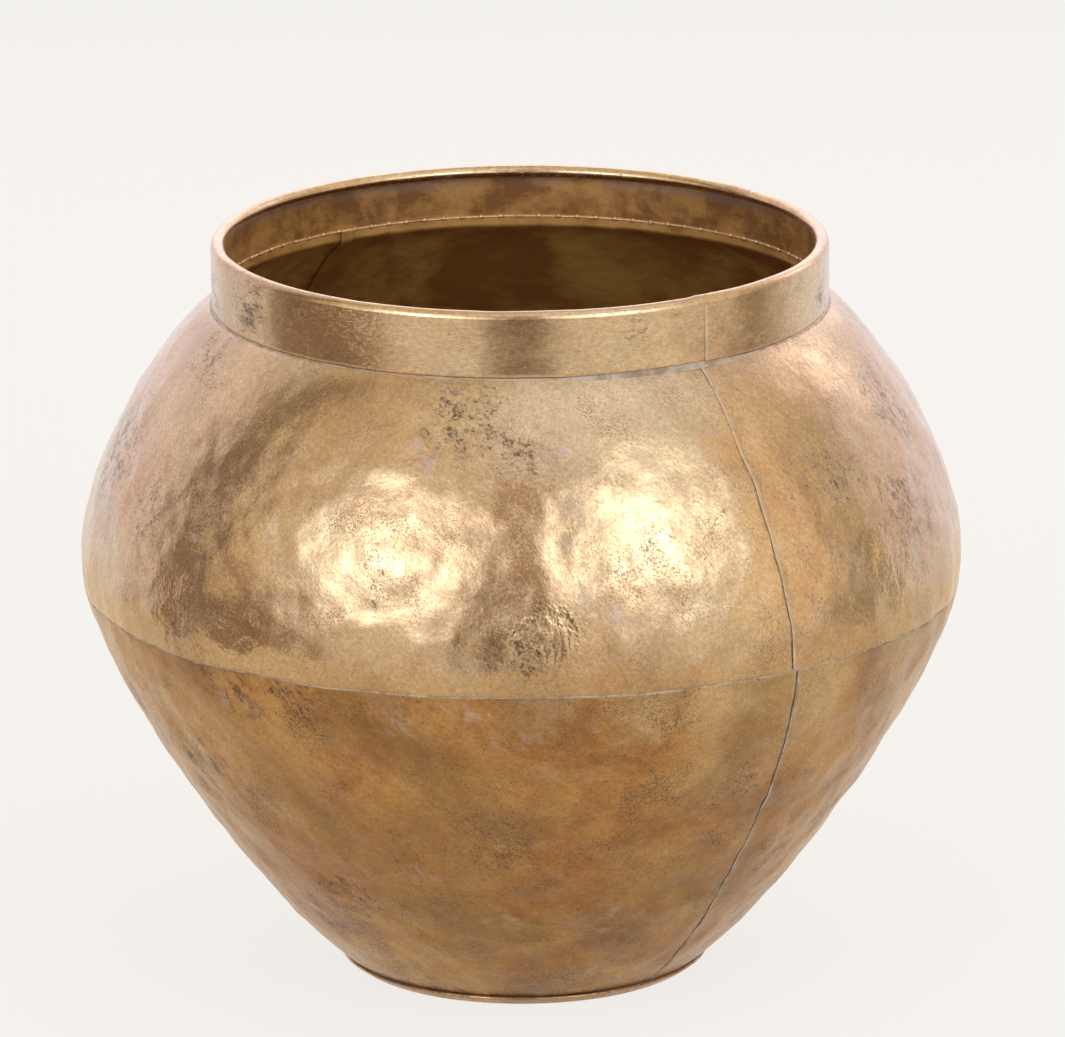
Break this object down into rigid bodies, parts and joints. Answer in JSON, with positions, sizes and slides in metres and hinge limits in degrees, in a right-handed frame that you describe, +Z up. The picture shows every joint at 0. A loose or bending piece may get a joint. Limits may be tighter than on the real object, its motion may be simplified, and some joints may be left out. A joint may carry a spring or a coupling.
{
  "type": "planter pot",
  "caption": "Round-bellied metal planter pot, soldered from sheet, with a straight collar and a rolled rim over a wide open mouth.",
  "frame": {"origin": "centre of the base on the surface that the pot stands on", "axes": "+Z up along the pot's axis, -Y the front, +X to the right of the front"},
  "size_m": [0.5, 0.5, 0.423],
  "materials": {
    "upper_brass": "aged golden brass, hand hammered, semi polished",
    "lower_brass": "aged brown brass, hand hammered, blotched patina",
    "solder": "dull grey soft solder",
    "wire": "drawn iron wire"
  },
  "bodies": {
    "root": {"base_pan": "lower_brass", "foot_solder": "solder", "lower_shell_back": "lower_brass", "lower_shell_front": "lower_brass", "lower_seam_solder_right": "solder", "lower_seam_solder_left": "solder", "belly_solder": "solder", "upper_shell_back": "upper_brass", "upper_shell_front": "upper_brass", "upper_seam_solder_right": "solder", "upper_seam_solder_left": "solder", "neck_tacks": "upper_brass", "neck_solder": "solder", "collar": "upper_brass", "collar_seam_solder": "solder", "rim_wire": "wire"}
  },
  "joints": []
}
